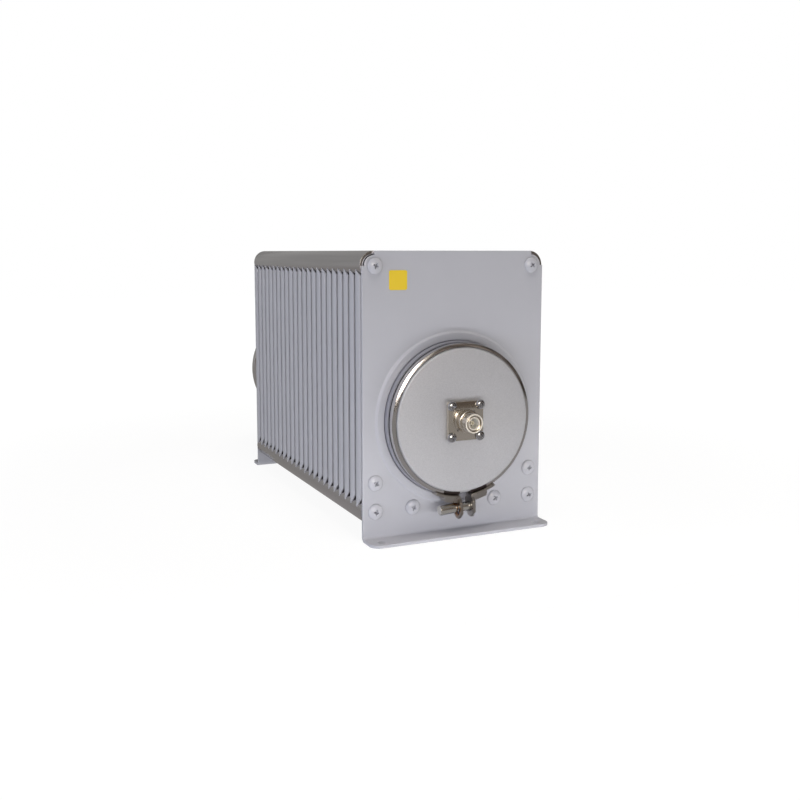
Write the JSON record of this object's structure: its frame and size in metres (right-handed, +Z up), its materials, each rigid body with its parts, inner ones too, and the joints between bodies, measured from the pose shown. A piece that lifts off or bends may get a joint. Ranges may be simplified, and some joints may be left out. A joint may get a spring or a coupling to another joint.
{
  "type": "rf dummy load",
  "caption": "Oil-filled coaxial load resistor: a round tank through a row of sheet-metal fins between two footed end plates, with a type N jack on a clamped cover.",
  "frame": {"origin": "under the middle of the whole object, on the surface it stands on", "axes": "+Z up, -Y towards the jack, +X to the right when looking at the jack"},
  "size_m": [0.165, 0.4398, 0.231],
  "materials": {
    "grey_paint": "satin light grey paint",
    "bar_paint": "satin grey paint",
    "tank_paint": "satin light grey paint",
    "cover_aluminium": "fine turned face, satin",
    "clamp_steel": "polished stainless steel",
    "bright_steel": "polished",
    "nickel_plate": "bright nickel plate",
    "white_insulator": "matt",
    "gold_plate": "gold plate",
    "black_rubber": "matt",
    "ceramic": "matt film on ceramic",
    "dark_paint": "satin dark paint"
  },
  "bodies": {
    "root": {"front_end_plate": "grey_paint", "rear_end_plate": "grey_paint", "fin_01": "grey_paint", "fin_02": "grey_paint", "fin_03": "grey_paint", "fin_04": "grey_paint", "fin_05": "grey_paint", "fin_06": "grey_paint", "fin_07": "grey_paint", "fin_08": "grey_paint", "fin_09": "grey_paint", "fin_10": "grey_paint", "fin_11": "grey_paint", "fin_12": "grey_paint", "fin_13": "grey_paint", "fin_14": "grey_paint", "fin_15": "grey_paint", "fin_16": "grey_paint", "fin_17": "grey_paint", "fin_18": "grey_paint", "fin_19": "grey_paint", "fin_20": "grey_paint", "fin_21": "grey_paint", "fin_22": "grey_paint", "fin_23": "grey_paint", "front_plate_screw_1": "grey_paint", "front_plate_screw_2": "grey_paint", "front_plate_screw_3": "grey_paint", "front_plate_screw_4": "grey_paint", "front_plate_screw_5": "grey_paint", "front_plate_screw_6": "grey_paint", "front_plate_screw_7": "grey_paint", "front_plate_screw_8": "grey_paint", "tie_bar_1": "bar_paint", "tie_bar_2": "bar_paint", "tie_bar_3": "bar_paint", "tie_bar_4": "bar_paint", "tank": "tank_paint", "front_tank_ring": "tank_paint", "rear_tank_ring": "tank_paint", "front_cover": "cover_aluminium", "resistor_housing": "cover_aluminium", "front_clamp_band": "clamp_steel", "rear_clamp_band": "clamp_steel", "front_clamp_bolt": "bright_steel", "front_clamp_nut": "bright_steel", "rear_clamp_bolt": "bright_steel", "rear_clamp_nut": "bright_steel", "jack_screw_1": "bright_steel", "jack_screw_2": "bright_steel", "jack_screw_3": "bright_steel", "jack_screw_4": "bright_steel", "jack_body": "nickel_plate", "vent_plug": "nickel_plate", "jack_insulator": "white_insulator", "centre_contact": "gold_plate", "cover_gasket": "black_rubber", "diaphragm": "black_rubber", "load_resistor": "ceramic", "rear_cover": "dark_paint"}
  },
  "joints": []
}
